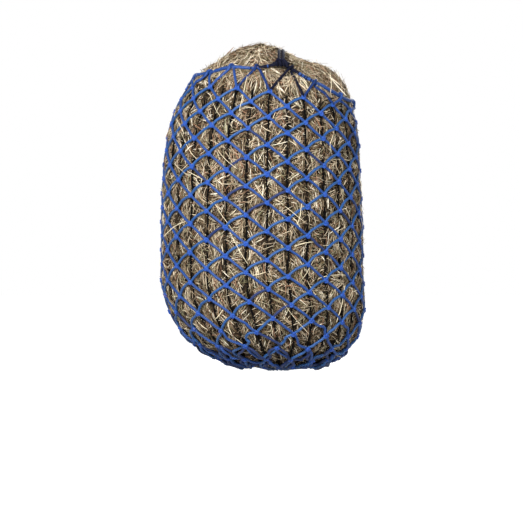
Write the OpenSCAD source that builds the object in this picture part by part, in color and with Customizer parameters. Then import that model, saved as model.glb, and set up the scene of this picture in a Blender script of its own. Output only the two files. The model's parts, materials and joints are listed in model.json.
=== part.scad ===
// Small-mesh hay net, filled with hay and standing on its base.
// Millimetres, +Z up. The origin is on the floor under the middle of the base ring.

/* [Filled bag] */
// Width over the belly, between cord centres
bag_w = 400; // [390:2:410]
// Depth from front to back, as a share of the width
depth_ratio = 0.94; // [0.92:0.01:0.96]
// Height of the rounded base
base_h = 178; // [174:1:182]
// Height of the upright side
side_h = 200; // [196:1:204]
// Height of the rounded shoulders
shoulder_h = 252; // [250:1:254]
// How far the belly leans away from the base, to the left
base_lean = 32; // [28:1:34]

/* [Net] */
// Length of one mesh bar, from knot to knot
bar = 50.6; // [50:0.1:51]
// Diameter of the mesh cord
cord_d = 4.5; // [4:0.1:4.8]
// Diameter of a mesh knot
knot_d = 10; // [9.6:0.1:10.6]
// Diameter of the thin dark cords inside the net
inner_cord_d = 3; // [2:0.1:3.4]

/* [Base ring] */
// Inner diameter of the ring
ring_bore = 32; // [30:1:34]
// Thickness of the ring's bar
ring_bar = 6; // [5:0.2:6]

/* [Drawcord] */
// Diameter of the drawcord
draw_d = 7; // [6:0.2:7]
// Distance of the tail to the right of the origin
tail_x = 6; // [4:1:8]
// Length of one tail segment
link_len = 54; // [50:1:55]
// Inner diameter of the hanging eye
eye_bore = 40; // [34:1:44]

/* [Hidden] */
mesh_columns = 15;
knot_rows = 21;
tail_links = 8;
belly_r = bag_w / 2;
base_power = 2.4;
shoulder_power = 2.6;
foot = knot_d / 2;
side_z = foot + base_h;
shoulder_z = side_z + side_h;
lean_power = 1.1;
mouth_lean = 14;
arc_steps = 60;

// Rows of knots, as lengths along the outline from the middle of the base
first_row_s = 70;
first_column = 8.9;
slip_free_s = 60;
slip_full_s = 330;
shoulder_s = 540;
side_slip = 20;
mouth_slip = 5;
mouth_bow = 8;
mouth_droop = 27;
base_knot_d = knot_d + 2;
base_knot_rows = 2;
leg_gap = 0.1;
leg_side = cord_d / 2 + 0.15;

// The drawcord's ring, above the last row of knots
rim_rise = 11;
rim_slip = 30;
rim_bow = 25;
exit_j = 11;
hitch_d = 16;
hitch_w = 30;
exit_trim = 2;
loop_slack = 1;
loop_leg_trim = 3;
loop_bar = cord_d + 0.6;
exit_loop_gap = 24;

// The tail lies over the top of the bag and down its back
tail_zc = shoulder_z;
tail_clear = 14;
tail_depth = belly_r * depth_ratio + tail_clear;
tail_top = shoulder_h + 5;
tail_start_turn = 120;
first_joint_s = 12.4;
joint_gap = 0.6;
swing_gap = 2.8;
swing_joint = 7;
strand_gap = 0.7;
tail_knot_d = 17;
tail_knot_len = 26;
tail_knot_grip = 6;

// Base ring and the loops on it
ring_z = 8.5;
base_loop_slack = 0.3;

// Hay
hay_inset = 17;
hay_columns = 30;
hay_rings = 18;
hay_first_s = 95;
hay_last_s = 735;
hay_foot_r = 60;
pad_r = 56;
pad_sink = 2;
ring_room_r = 28;
ring_room_z = 18;
crown_x = -42;
crown_r = 90;
crown_top = 652;
crown_drop = 45;
crown_base_z = 592;
inner_cord_inset = 7;
inner_cord_trim = 5;

round_fn = 32;

// ---- Outline of the bag: [radius, height] from the middle of the base to the top ----

function base_point(a) =
    [belly_r * pow(sin(a), 2 / base_power), foot + base_h * (1 - pow(cos(a), 2 / base_power))];

function shoulder_point(a) =
    [belly_r * pow(cos(a), 2 / shoulder_power), shoulder_z + shoulder_h * pow(sin(a), 2 / shoulder_power)];

outline = concat(
    [for (k = [0 : arc_steps]) base_point(90 * k / arc_steps)],
    [for (k = [1 : arc_steps]) [belly_r, side_z + side_h * k / arc_steps]],
    [for (k = [1 : arc_steps]) shoulder_point(90 * k / arc_steps)]);

// Running length along a list of points
function run(points) =
    [for (k = 0, s = 0; k < len(points);
        s = s + (k < len(points) - 1 ? norm(points[k + 1] - points[k]) : 0), k = k + 1) s];

// Pairs of length and one coordinate, for lookup
function pairs(lengths, points, axis) =
    [for (k = [0 : len(points) - 1]) [lengths[k], points[k][axis]]];

outline_run = run(outline);
outline_r = pairs(outline_run, outline, 0);
outline_z = pairs(outline_run, outline, 1);

function r_at(s) = lookup(s, outline_r);
function z_at(s) = lookup(s, outline_z);

// The belly sits to the left of the base, and the mouth comes back a little
function lean(z) =
    -base_lean * (1 - pow(max(0, 1 - z / side_z), lean_power))
    + mouth_lean * pow(max(0, (z - shoulder_z) / shoulder_h), 2);

// Point on the skin of the bag, or grow outside it
function skin(a, s, grow = 0) =
    let (
        dr = r_at(s + 1) - r_at(s - 1),
        dz = z_at(s + 1) - z_at(s - 1),
        r = r_at(s) + grow * dz / norm([dr, dz]),
        z = z_at(s) - grow * dr / norm([dr, dz]))
    [r * cos(a) + lean(z), r * depth_ratio * sin(a), z];

// ---- Knots: each row is half a mesh round from the row below ----

function half_width(s) = PI * r_at(s) / mesh_columns;
function next_row(s) = s + sqrt(bar * bar - pow(half_width(s + bar / 3), 2));
rows = [for (k = 0, s = first_row_s; k < knot_rows; s = next_row(s), k = k + 1) s];
last_row = knot_rows - 1;

// Rows slip down on the right, and droop towards the mouth
function slip(a, s) =
    let (
        t = max(0, min(1, (s - slip_free_s) / (slip_full_s - slip_free_s))),
        m = max(0, (s - shoulder_s) / (rows[last_row] - shoulder_s)))
    -(side_slip * t + mouth_slip * m) * cos(a) - mouth_bow * m * cos(2 * a) - mouth_droop * m * m;

function column(row, j) = first_column + 360 / mesh_columns * (j + (row % 2) / 2);
function row_s(row, a) = rows[row] + slip(a, rows[row]);
function knot(row, j, grow = 0) = skin(column(row, j), row_s(row, column(row, j)), grow);
function knot_size(row) = row < base_knot_rows ? base_knot_d : knot_d;

// ---- Cord pieces ----

// Turns the z axis to lie along v, at p
module along(p, v) {
    translate(p)
        rotate([0, acos(v[2] / norm(v)), atan2(v[1], v[0])])
            children();
}

module straight(p, q, d, trim_p, trim_q) {
    along(p, q - p)
        translate([0, 0, trim_p])
            cylinder(h = norm(q - p) - trim_p - trim_q, d = d, $fn = round_fn);
}

module ball(p, d) {
    translate(p)
        sphere(d = d, $fn = round_fn);
}

// A round bar with domed ends, along z from 0 to length
module capsule(length, d) {
    r = d / 2;
    rotate_extrude($fn = round_fn)
        polygon(concat(
            [for (a = [-90 : 15 : 0]) [r * cos(a), r + r * sin(a)]],
            [for (a = [0 : 15 : 90]) [r * cos(a), length - r + r * sin(a)]]));
}

module ring(inner_d, bar_d) {
    rotate_extrude($fn = 2 * round_fn)
        translate([inner_d / 2 + bar_d / 2, 0])
            circle(d = bar_d, $fn = round_fn);
}

// ---- Net ----

// A leg of cord between p and q, which are set back by rp and rq. It leaves each end on the
// side that e points to, so that the two legs of a knot never meet.
module leg(p, q, e, rp, rq) {
    a = p + e * leg_side;
    b = q - e * leg_side;
    d = (b - a) / norm(b - a);
    along(a + d * (rp + leg_gap - leg_side * (e * d)), d)
        cylinder(
            h = norm(b - a) - rp - rq - 2 * leg_gap + 2 * leg_side * (e * d),
            d = cord_d, $fn = round_fn);
}

// One course: each knot of a row, with the two legs that tie it to knots of the row below
module net_course(row) {
    low = row - 1;
    color("royalblue")
        for (j = [0 : mesh_columns - 1]) {
            top = knot(row, j);
            left = knot(low, j - 1 + row % 2);
            right = knot(low, j + row % 2);
            e = (right - left) / norm(right - left);
            ball(top, knot_size(row));
            leg(top, left, -e, knot_size(row) / 2, knot_size(low) / 2);
            leg(top, right, e, knot_size(row) / 2, knot_size(low) / 2);
        }
}

// Dark cords under the net, each from a knot to the next one straight above
module inner_cords() {
    color("darkslategray")
        for (row = [0 : last_row - 2], j = [0 : mesh_columns - 1])
            straight(
                knot(row, j, -inner_cord_inset), knot(row + 2, j, -inner_cord_inset),
                inner_cord_d, inner_cord_trim, inner_cord_trim);
}

// ---- Base ring ----

module base_ring() {
    color("silver")
        translate([0, 0, ring_z])
            ring(ring_bore, ring_bar);
}

// Starting loops of the net, threaded on the base ring
module base_loops() {
    bore = ring_bar + 2 * base_loop_slack;
    color("royalblue")
        for (j = [0 : mesh_columns - 1]) {
            a = column(0, j);
            out = [cos(a), sin(a), 0];
            on_ring = out * (ring_bore + ring_bar) / 2 + [0, 0, ring_z];
            on_loop = on_ring + out * (bore + loop_bar) / 2;
            along(on_ring, cross([0, 0, 1], out))
                ring(bore, loop_bar);
            straight(on_loop, knot(0, j), cord_d, loop_bar / 2 + leg_gap, base_knot_d / 2 + leg_gap);
            ball(knot(0, j), base_knot_d);
        }
}

// ---- Drawcord ----

function rim_s(a) = rows[last_row] + rim_rise - rim_slip * cos(a) - rim_bow * cos(2 * a);

// Joints of the drawcord's ring; the exit column rises to the hitch
function draw_joint(j) =
    let (a = column(1, j))
    j == exit_j ? hitch : skin(a, rim_s(a));

// The drawcord lies in straight runs from loop to loop
module drawcord() {
    color("midnightblue")
        for (j = [0 : mesh_columns - 1]) {
            next = (j + 1) % mesh_columns;
            p = draw_joint(j);
            q = draw_joint(next);
            trim_p = j == exit_j ? exit_trim : joint_gap / 2;
            trim_q = next == exit_j ? exit_trim : joint_gap / 2;
            along(p + (q - p) / norm(q - p) * trim_p, q - p)
                capsule(norm(q - p) - trim_p - trim_q, draw_d);
        }
}

// A loop of mesh cord round the drawcord, with two legs to the last row of knots
module mouth_loop(j) {
    here = draw_joint(j);
    after = draw_joint((j + 1) % mesh_columns);
    before = draw_joint((j + mesh_columns - 1) % mesh_columns);
    at_exit = j == exit_j;
    way = at_exit ? after - here : after - before;
    t = way / norm(way);
    c = at_exit ? here + t * exit_loop_gap : here;
    bore = draw_d + 2 * loop_slack;
    down = (knot(last_row, j) + knot(last_row, j + 1)) / 2 - c;
    side = down - t * (down * t);
    foot_point = c + side / norm(side) * (bore + loop_bar) / 2;
    along(c, t)
        ring(bore, loop_bar);
    leg(foot_point, knot(last_row, j), -t, loop_bar / 2, knot_d / 2 + loop_leg_trim);
    leg(foot_point, knot(last_row, j + 1), t, loop_bar / 2, knot_d / 2 + loop_leg_trim);
}

module mouth_loops() {
    color("royalblue")
        for (j = [0 : mesh_columns - 1])
            mouth_loop(j);
}

// ---- Tail: the doubled drawcord, from the hitch over the top and down the back ----

function tail_arc(turn) =
    [tail_x,
        tail_depth * sign(cos(turn)) * pow(abs(cos(turn)), 2 / shoulder_power),
        tail_zc + tail_top * pow(sin(turn), 2 / shoulder_power)];

tail_path = concat(
    [for (k = [0 : arc_steps]) tail_arc(tail_start_turn * (1 - k / arc_steps))],
    [[tail_x, tail_depth, 0]]);
tail_run = run(tail_path);
tail_y = pairs(tail_run, tail_path, 1);
tail_z = pairs(tail_run, tail_path, 2);

function tail_at(s) = [tail_x, lookup(s, tail_y), lookup(s, tail_z)];
function tail_joint(k) = tail_at(first_joint_s + (k - 1) * link_len);
hitch = tail_at(0);

module drawcord_hitch() {
    color("midnightblue")
        along(hitch - [hitch_w / 2, 0, 0], [1, 0, 0])
            capsule(hitch_w, hitch_d);
}

// Gap between two segments; the joint that swings sideways has more room
function end_gap(k) = k == swing_joint ? swing_gap : joint_gap;

// One segment of the tail: two strands side by side
module tail_link(k) {
    p = tail_joint(k);
    q = tail_joint(k + 1);
    side = [(draw_d + strand_gap) / 2, 0, 0];
    trim_p = end_gap(k) / 2;
    trim_q = end_gap(k + 1) / 2;
    color("midnightblue")
        for (s = [-1, 1])
            along(p + s * side + (q - p) / norm(q - p) * trim_p, q - p)
                capsule(norm(q - p) - trim_p - trim_q, draw_d);
}

module tail_knot() {
    end = tail_joint(tail_links + 1);
    way = end - tail_joint(tail_links);
    color("midnightblue")
        along(end - way / norm(way) * tail_knot_grip, way)
            capsule(tail_knot_len, tail_knot_d);
}

module hanging_eye() {
    end = tail_joint(tail_links + 1);
    way = end - tail_joint(tail_links);
    reach = tail_knot_len - tail_knot_grip + eye_bore / 2;
    color("midnightblue")
        along(end + way / norm(way) * reach, cross(way, [1, 0, 0]))
            ring(eye_bore, draw_d);
}

// ---- Hay ----

// Closed shell through equal rings of points, with a middle point at each end
module loft(rings, low_middle, high_middle) {
    n = len(rings[0]);
    m = len(rings);
    points = concat([low_middle], [for (k = rings) each k], [high_middle]);
    top = len(points) - 1;
    polyhedron(
        points,
        concat(
            [for (j = [0 : n - 1]) [0, 1 + j, 1 + (j + 1) % n]],
            [for (k = [0 : m - 2], j = [0 : n - 1])
                [1 + k * n + j, 1 + (k + 1) * n + j, 1 + (k + 1) * n + (j + 1) % n]],
            [for (k = [0 : m - 2], j = [0 : n - 1])
                [1 + k * n + j, 1 + (k + 1) * n + (j + 1) % n, 1 + k * n + (j + 1) % n]],
            [for (j = [0 : n - 1]) [top, 1 + (m - 1) * n + (j + 1) % n, 1 + (m - 1) * n + j]]));
}

// The packed hay, with a flat foot round the base ring
module hay_fill() {
    angles = [for (j = [0 : hay_columns - 1]) 360 * j / hay_columns];
    foot_ring = [for (a = angles) [hay_foot_r * cos(a), hay_foot_r * depth_ratio * sin(a), ring_room_z]];
    side_rings = [for (k = [0 : hay_rings - 1])
        let (s = hay_first_s + (hay_last_s - hay_first_s) * k / (hay_rings - 1))
        [for (a = angles) skin(a, s, -hay_inset)]];
    top = skin(0, hay_last_s, -hay_inset)[2];
    color("darkkhaki") {
        loft(concat([foot_ring], side_rings), [0, 0, ring_room_z], [lean(top), 0, top]);
        difference() {
            cylinder(h = ring_room_z + pad_sink, r = pad_r, $fn = 2 * round_fn);
            translate([0, 0, -1])
                cylinder(h = ring_room_z + 1, r = ring_room_r, $fn = 2 * round_fn);
        }
    }
}

// The heap of hay that stands out of the mouth
module hay_crown() {
    edge_z = crown_top - crown_drop;
    color("darkkhaki")
        translate([crown_x, 0, 0])
            rotate_extrude($fn = 2 * round_fn)
                polygon([[0, crown_base_z], [crown_r, crown_base_z], [crown_r, edge_z],
                    [crown_r / 8, crown_top - crown_drop / 8], [0, crown_top - crown_drop / 16]]);
}

hay_fill();
hay_crown();
inner_cords();
base_ring();
base_loops();
net_course(1);  // net_course_01
net_course(2);  // net_course_02
net_course(3);  // net_course_03
net_course(4);  // net_course_04
net_course(5);  // net_course_05
net_course(6);  // net_course_06
net_course(7);  // net_course_07
net_course(8);  // net_course_08
net_course(9);  // net_course_09
net_course(10);  // net_course_10
net_course(11);  // net_course_11
net_course(12);  // net_course_12
net_course(13);  // net_course_13
net_course(14);  // net_course_14
net_course(15);  // net_course_15
net_course(16);  // net_course_16
net_course(17);  // net_course_17
net_course(18);  // net_course_18
net_course(19);  // net_course_19
net_course(20);  // net_course_20
mouth_loops();
drawcord();
drawcord_hitch();
tail_link(1);  // tail_1
tail_link(2);  // tail_2
tail_link(3);  // tail_3
tail_link(4);  // tail_4
tail_link(5);  // tail_5
tail_link(6);  // tail_6
tail_link(7);  // tail_7
tail_link(8);  // tail_8
tail_knot();
hanging_eye();
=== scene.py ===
import json
import math

import bpy
import numpy as np
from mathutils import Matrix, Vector
from mathutils.kdtree import KDTree


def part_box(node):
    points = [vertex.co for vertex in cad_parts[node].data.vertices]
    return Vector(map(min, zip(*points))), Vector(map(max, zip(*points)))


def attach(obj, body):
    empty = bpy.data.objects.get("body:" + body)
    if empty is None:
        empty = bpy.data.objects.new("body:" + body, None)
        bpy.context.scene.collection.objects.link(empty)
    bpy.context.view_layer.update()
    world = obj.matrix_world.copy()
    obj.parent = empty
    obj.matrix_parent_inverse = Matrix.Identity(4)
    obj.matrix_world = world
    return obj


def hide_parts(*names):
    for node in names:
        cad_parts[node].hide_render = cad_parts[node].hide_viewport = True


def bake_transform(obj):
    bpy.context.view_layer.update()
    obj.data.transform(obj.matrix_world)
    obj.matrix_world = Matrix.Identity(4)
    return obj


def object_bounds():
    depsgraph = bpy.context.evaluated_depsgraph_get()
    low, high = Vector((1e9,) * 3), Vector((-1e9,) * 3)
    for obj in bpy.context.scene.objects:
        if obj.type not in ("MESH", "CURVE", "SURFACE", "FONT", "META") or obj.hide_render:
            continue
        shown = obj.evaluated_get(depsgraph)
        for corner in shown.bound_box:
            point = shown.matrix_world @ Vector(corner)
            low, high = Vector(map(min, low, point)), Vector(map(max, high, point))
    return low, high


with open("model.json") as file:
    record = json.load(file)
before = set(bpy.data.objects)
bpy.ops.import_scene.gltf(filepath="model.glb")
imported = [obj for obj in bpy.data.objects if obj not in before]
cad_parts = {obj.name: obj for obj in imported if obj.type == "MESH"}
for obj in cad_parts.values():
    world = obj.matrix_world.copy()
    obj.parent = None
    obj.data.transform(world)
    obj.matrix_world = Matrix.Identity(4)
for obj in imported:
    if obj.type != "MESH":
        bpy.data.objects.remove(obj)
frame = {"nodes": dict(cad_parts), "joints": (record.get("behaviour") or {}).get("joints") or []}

cad_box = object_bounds()
rng = np.random.default_rng(12)

# Lengths are in millimetres until a mesh is made.
MM = 0.001
NET_BODY = "filled_net"
X_AXIS = np.array([1.0, 0, 0])
Y_AXIS = np.array([0, 1.0, 0])
Z_AXIS = np.array([0, 0, 1.0])

# ---- Shape of the bag: u counts half meshes round it, v counts rows of knots ----

COLUMNS = 30
ROWS = 21
LAST_ROW = ROWS - 1
COLUMN_ANGLE = 2 * math.pi / COLUMNS
DEPTH = 0.94  # depth over width
U_STEPS = 24  # table points for each half mesh
V_STEPS = 16  # table points for each row
FOOT_V = -2
TOP_V = LAST_ROW + 4

# The shoulders are tucked in, and the lowest rows are narrower on the left and wider on the right
TUCK = 6.5
TUCK_ROWS = (10, 16)
FOOT_BULGE = 2.5
FOOT_BULGE_ROWS = (1, 5)
FOOT_TUCK = 9
FOOT_TUCK_ROWS = (0, 2.5)

# Hay under the base, as radius and height, from row 0 to the middle
FOOT_PROFILE = ((56, 8.0), (31, 9.0), (27, 15.0), (0.5, 17.0))

# Hay above the mouth: a flat dome with a heap on its left, a dip for the tail and a shoulder on its right
DOME_DROP = 17
DOME_REACH = 0.35
DOME_SHIFT = 4
HEAP_FADE = 0.35
HEAP_H = 21
HEAP_SPREAD = 50
DIP_H = 6
DIP_SPREAD = 45
DIP_OFFSET = 90
SHOULDER_RISE = 13
SHOULDER_OFFSET = 158
SHOULDER_SPREAD = 44

# Hay between the cords: pillows in the meshes, grooves under the cords and at the dark upright lines
GROOVE_DEPTH = 6.8
PILLOW_RISE = 8.5
PILLOW_REACH = 13
LINE_DEPTH = 5
LINE_HALF = 3.2
OPEN_HAY = 0.5
HAY_UNDER = 2.2
HAY_GRID = 3

# Unevenness of the hay, as height, bump sizes round and up in table points, and seed
ROUGHNESS = ((1.1, 26, 22, 3), (0.7, 9, 8, 4))
CROWN_LUMPS = ((1.9, 40, 14, 5), (1.2, 16, 6, 6))

# Stalks: how many are tried, how long and wide they are, and how they lie
STALKS = 80000
STALK_LOW_V = -0.3
STALK_LENGTH = 23
STALK_LENGTHS = (9, 70)
STALK_WIDTH = 1.05
STALK_WIDTHS = (0.6, 2.4)
STALK_LAYERS = (-2.6, 1.8)
STALK_TILT = 0.9
STALK_ARCH = 1.8
STALK_BEND = 0.3
STALK_ROLL = 0.7
STALK_GIVE = 0.45
STALK_CLEAR = 2.8
LOOSE_SHARE = 0.05
CROWN_LOOSE_SHARE = 0.06
LAY_SWING = 1.1
LAY_SPREAD = 0.55

# Few stalks start on a dark line or bridge it
LINE_CLEAR = 2.4
LINE_KEEP = 0.3
BRIDGE_SHARE = 0.14

# Long stray stalks over the net
STRAYS = 90
STRAY_LOW_V = 2.5
STRAY_LENGTHS = (30, 80)
STRAY_WIDTHS = (0.9, 1.5)
STRAY_LIFT = 4.0
STRAY_LEAST_LIFT = 1.5
STRAY_TILT = 1.5

# ---- Cords of the net and ropes ----

CORD_R = 2.8
CORD_LIFT = 0.2
CORD_SIDES = 8
CORD_STEP = 1.75
BAR_STATIONS = 29
BAR_PLAY = 1.1
DIM_SHARE = 0.07
KNOT_SIZE = 11.9
BASE_KNOT_SIZE = 13.2
KNOT_LIFT = 1.8
KNOT_CLEAR = 0.6
KNOT_STATIONS = 56
KNOT_SIDES = 6
KNOT_RING, KNOT_SWING, KNOT_CORD = 0.235, 0.125, 0.155  # shares of the knot's size

# The lowest courses hang slack, and the first ones lie double
SLACK_ROWS = 4
SLACK = 8
FOLDED_ROWS = 2
FOOT_KNOT_LIFT = 3

# Starting loops, dark upright cords, drawcord
LOOP_R = 2.25
LOOP_GAP = 2.6
LOOP_CLEAR = 0.35
INNER_R = 1.6
INNER_LIFT = -2.2
INNER_SIDES = 6
DRAW_R = 3.5
ROPE_LIFT = 2.4
ROPE_SIDES = 12
ROPE_STEP = 2.4
CLEAR_OF_FLOOR = 0.4

# Tail: divisions of each piece, and how far the bend reaches on both sides of a joint
TAIL_STEPS = 24
STRAND_GAP = 0.4

# ---- Studio, in metres ----

FLOOR_HALF = 30
CAMERA_DISTANCE = 14.0
CAMERA_HEIGHT = 0.219
VIEW_WIDTH = 1.046


def unit(v):
    """Vectors at length 1."""
    return v / np.maximum(np.linalg.norm(v, axis=-1, keepdims=True), 1e-9)


def smoothstep(low, high, x):
    """Smooth step from 0 at low to 1 at high."""
    t = np.clip((x - low) / (high - low), 0, 1)
    return t * t * (3 - 2 * t)


def bezier_mix(t):
    """Shares of the four control points of a curve at t."""
    return [(1 - t) ** 3, 3 * t * (1 - t) ** 2, 3 * t * t * (1 - t), t**3]


def above_floor(points, clear):
    """The points, raised where they are closer than clear to the floor."""
    points[..., 2] = np.maximum(points[..., 2], clear)
    return points


def tree_of(points):
    """Search tree for the nearest of the points."""
    tree = KDTree(len(points))
    for k, p in enumerate(points):
        tree.insert(p, k)
    tree.balance()
    return tree


# ---- Reading places from the CAD frame ----


def node_points(node):
    """Points of a CAD node."""
    mesh = frame["nodes"][node].data
    points = np.empty(len(mesh.vertices) * 3)
    mesh.vertices.foreach_get("co", points)
    return points.reshape(-1, 3) / MM


def loose_parts(node):
    """The points of each separate solid of a CAD node."""
    mesh = frame["nodes"][node].data
    microns, index = np.unique(np.round(node_points(node) * 1000), axis=0, return_inverse=True)
    edges = np.empty(len(mesh.edges) * 2, int)
    mesh.edges.foreach_get("vertices", edges)
    edges = index.ravel()[edges].reshape(-1, 2)
    label = np.arange(len(microns))
    while True:
        low = np.minimum(label[edges[:, 0]], label[edges[:, 1]])
        new = label.copy()
        np.minimum.at(new, edges[:, 0], low)
        np.minimum.at(new, edges[:, 1], low)
        new = new[new]
        if (new == label).all():
            break
        label = new
    return [microns[label == k] / 1000 for k in np.unique(label)]


def knot_centres(node, largest=14, roundness=0.06):
    """Middles of the ball-shaped solids of a node."""
    found = []
    for part in loose_parts(node):
        size = np.ptp(part, axis=0)
        if size.max() < largest and np.ptp(size) < roundness * size.max():
            found.append((part.min(0) + part.max(0)) / 2)
    return np.array(found)


def box_middle(node):
    low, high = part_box(node)
    return np.array((low + high) / 2) / MM


def box_top(node):
    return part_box(node)[1].z / MM


ROW_NODES = ["base_loops"] + [f"net_course_{k:02d}" for k in range(1, ROWS)]
row_knots = [knot_centres(node) for node in ROW_NODES]
row_middle = np.array([k.mean(0)[0] for k in row_knots])


def knot_angles(row):
    """Angles of a row's knots round its middle, on a circle."""
    x = row_knots[row][:, 0] - row_middle[row]
    return np.arctan2(row_knots[row][:, 1] / DEPTH, x)


FIRST_ANGLE = min(a for a in knot_angles(0) if a > 0)


def row_polar(row):
    """Radius, height and angle error at each column; columns between knots are means."""
    angles = knot_angles(row)
    columns = np.round((angles - FIRST_ANGLE) / COLUMN_ANGLE).astype(int) % COLUMNS
    polar = np.zeros((COLUMNS, 3))
    polar[columns, 0] = np.hypot(row_knots[row][:, 0] - row_middle[row], row_knots[row][:, 1] / DEPTH)
    polar[columns, 1] = row_knots[row][:, 2]
    error = angles - FIRST_ANGLE - COLUMN_ANGLE * columns
    polar[columns, 2] = (error + math.pi) % (2 * math.pi) - math.pi
    between = (np.arange(COLUMNS) + row) % 2 == 1
    mean = (np.roll(polar, 1, axis=0) + np.roll(polar, -1, axis=0)) / 2
    polar[between] = mean[between]
    return polar


def finer(polar):
    """The same ring at U_STEPS points a column, by its Fourier series."""
    waves = np.fft.rfft(polar, axis=0)
    full = np.zeros((COLUMNS * U_STEPS // 2 + 1, 3), complex)
    full[: len(waves)] = waves
    return np.fft.irfft(full, n=COLUMNS * U_STEPS, axis=0) * U_STEPS


fine_angle = FIRST_ANGLE + np.arange(COLUMNS * U_STEPS) * COLUMN_ANGLE / U_STEPS


def ring_points(polar, middle):
    """Points of an outline given as radius, height and angle error."""
    a = fine_angle + polar[:, 2]
    x = middle + polar[:, 0] * np.cos(a)
    return np.stack([x, DEPTH * polar[:, 0] * np.sin(a), polar[:, 1]], axis=1)


def catmull(points, steps):
    """Smooth run through points, with steps divisions to each gap."""
    ends = [2 * points[0] - points[1]], [2 * points[-1] - points[-2]]
    p = np.concatenate([ends[0], points, ends[1]])
    rows = []
    for k in range(1, len(p) - 2):
        for t in np.arange(steps) / steps:
            rows.append(
                p[k]
                + 0.5 * t * (p[k + 1] - p[k - 1]
                + t * (2 * p[k - 1] - 5 * p[k] + 4 * p[k + 1] - p[k + 2]
                + t * (3 * (p[k] - p[k + 1]) + p[k + 2] - p[k - 1])))
            )
    rows.append(p[-2])
    return np.array(rows)


def row_outline(row):
    """Outline of a row, with the tucks and the bulge."""
    polar = finer(row_polar(row))
    rightward = (1 + np.cos(fine_angle)) / 2
    polar[:, 0] -= TUCK * smoothstep(*TUCK_ROWS, row)
    polar[:, 0] += FOOT_BULGE * rightward**2 * (1 - smoothstep(*FOOT_BULGE_ROWS, row))
    polar[:, 0] -= FOOT_TUCK * (1 - rightward) ** 2 * (1 - smoothstep(*FOOT_TUCK_ROWS, row))
    return polar


def foot_rows():
    """Hay below row 0, from the middle of the base outwards."""
    edge = finer(row_polar(0))
    polar = [edge]
    for radius, height in FOOT_PROFILE:
        level = edge.copy()
        level[:, 0] = radius
        level[:, 1] = height
        polar.append(level)
    steps = V_STEPS * -FOOT_V
    rows = []
    for k in range(steps, 0, -1):
        at = k / steps * len(FOOT_PROFILE)
        low = min(int(at), len(FOOT_PROFILE) - 1)
        blend = polar[low] + (at - low) * (polar[low + 1] - polar[low])
        rows.append(ring_points(blend, row_middle[0] * (1 - k / steps)))
    return rows


def heap(x, y):
    """Height that the loose hay adds to the dome."""
    x = x - box_middle("hay_crown")[0]
    heap2 = x**2 + y**2
    dip2 = (x - DIP_OFFSET) ** 2 + y**2
    shoulder2 = (x - SHOULDER_OFFSET) ** 2 + (y / 2) ** 2
    return (HEAP_H * np.exp(-heap2 / HEAP_SPREAD**2)
            - DIP_H * np.exp(-dip2 / DIP_SPREAD**2)
            + SHOULDER_RISE * np.exp(-shoulder2 / SHOULDER_SPREAD**2))


def dome_rows(side_rows):
    """Hay above the last row of knots, closing on the middle of the dome."""
    edge = row_outline(LAST_ROW)
    radius, height = edge[:, 0], edge[:, 1]
    way = side_rows[-1] - side_rows[-1 - V_STEPS // 2]
    flat = np.hypot(way[:, 0], way[:, 1])
    steep = np.hypot(flat, way[:, 2])
    top = box_top("hay_crown") - DOME_DROP
    reach = DOME_REACH * radius
    radii = [radius, radius - reach * flat / steep, 0.5 * radius, 0.004 * radius]
    heights = [height, height + reach * way[:, 2] / steep, top + 0 * height, top + 0 * height]
    steps = V_STEPS * (TOP_V - LAST_ROW)
    rows = []
    for k in range(1, steps + 1):
        t = k / steps
        level = edge.copy()
        level[:, 0] = sum(m * r for m, r in zip(bezier_mix(t), radii))
        level[:, 1] = sum(m * h for m, h in zip(bezier_mix(t), heights))
        ring = ring_points(level, row_middle[LAST_ROW] + DOME_SHIFT * t)
        ring[:, 2] += smoothstep(0, HEAP_FADE, t) * heap(ring[:, 0], ring[:, 1])
        rows.append(ring)
    return rows


side = catmull(np.array([ring_points(row_outline(k), row_middle[k]) for k in range(ROWS)]), V_STEPS)
skin = np.concatenate([foot_rows(), side, dome_rows(side)])
across = (np.roll(skin, -1, axis=1) - np.roll(skin, 1, axis=1)) / 2 * U_STEPS
upward = np.gradient(skin, axis=0) * V_STEPS
skin_normal = unit(np.cross(across, upward))
u_length = np.maximum(np.linalg.norm(across, axis=2), 0.5)
v_length = np.maximum(np.linalg.norm(upward, axis=2), 2.0)
table_u = np.arange(COLUMNS * U_STEPS) / U_STEPS
table_v = FOOT_V + np.arange(len(skin)) / V_STEPS
line_distance = np.abs((table_u + 0.5) % 1 - 0.5)[None, :] * u_length


def sample(table, u, v):
    """Value of a table at (u, v), where u runs round the bag."""
    x = (u % COLUMNS) * U_STEPS
    y = np.clip((v - FOOT_V) * V_STEPS, 0, len(table) - 1.001)
    i, j = x.astype(int), y.astype(int)
    fx, fy = x - i, y - j
    if table.ndim == 3:
        fx, fy = fx[..., None], fy[..., None]
    i, after = i % table.shape[1], (i + 1) % table.shape[1]
    low = table[j, i] * (1 - fx) + table[j, after] * fx
    high = table[j + 1, i] * (1 - fx) + table[j + 1, after] * fx
    return low * (1 - fy) + high * fy


def on_skin(u, v, lift):
    """Points lift millimetres outside the skin."""
    return sample(skin, u, v) + sample(skin_normal, u, v) * np.asarray(lift)[..., None]


def soft_noise(wave_u, wave_v, seed):
    """Smooth random table, mean 0 and deviation 1, with bumps of the given size in table steps."""
    white = np.random.default_rng(seed).standard_normal(skin.shape[:2])
    fu = np.fft.fftfreq(skin.shape[1])[None, :] * wave_u
    fv = np.fft.fftfreq(skin.shape[0])[:, None] * wave_v
    soft = np.fft.ifft2(np.fft.fft2(white) * np.exp(-2 * (fu**2 + fv**2))).real
    return soft / soft.std()


# ---- Bars of the net, as curves in (u, v) ----

RISING = np.array([[0, 0], [0.17, 0.4], [0.6, 0.86], [1, 1]])
FALLING = np.array([[0, 0], [-0.3, 0.36], [-0.66, 0.7], [-1, 1]])


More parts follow.
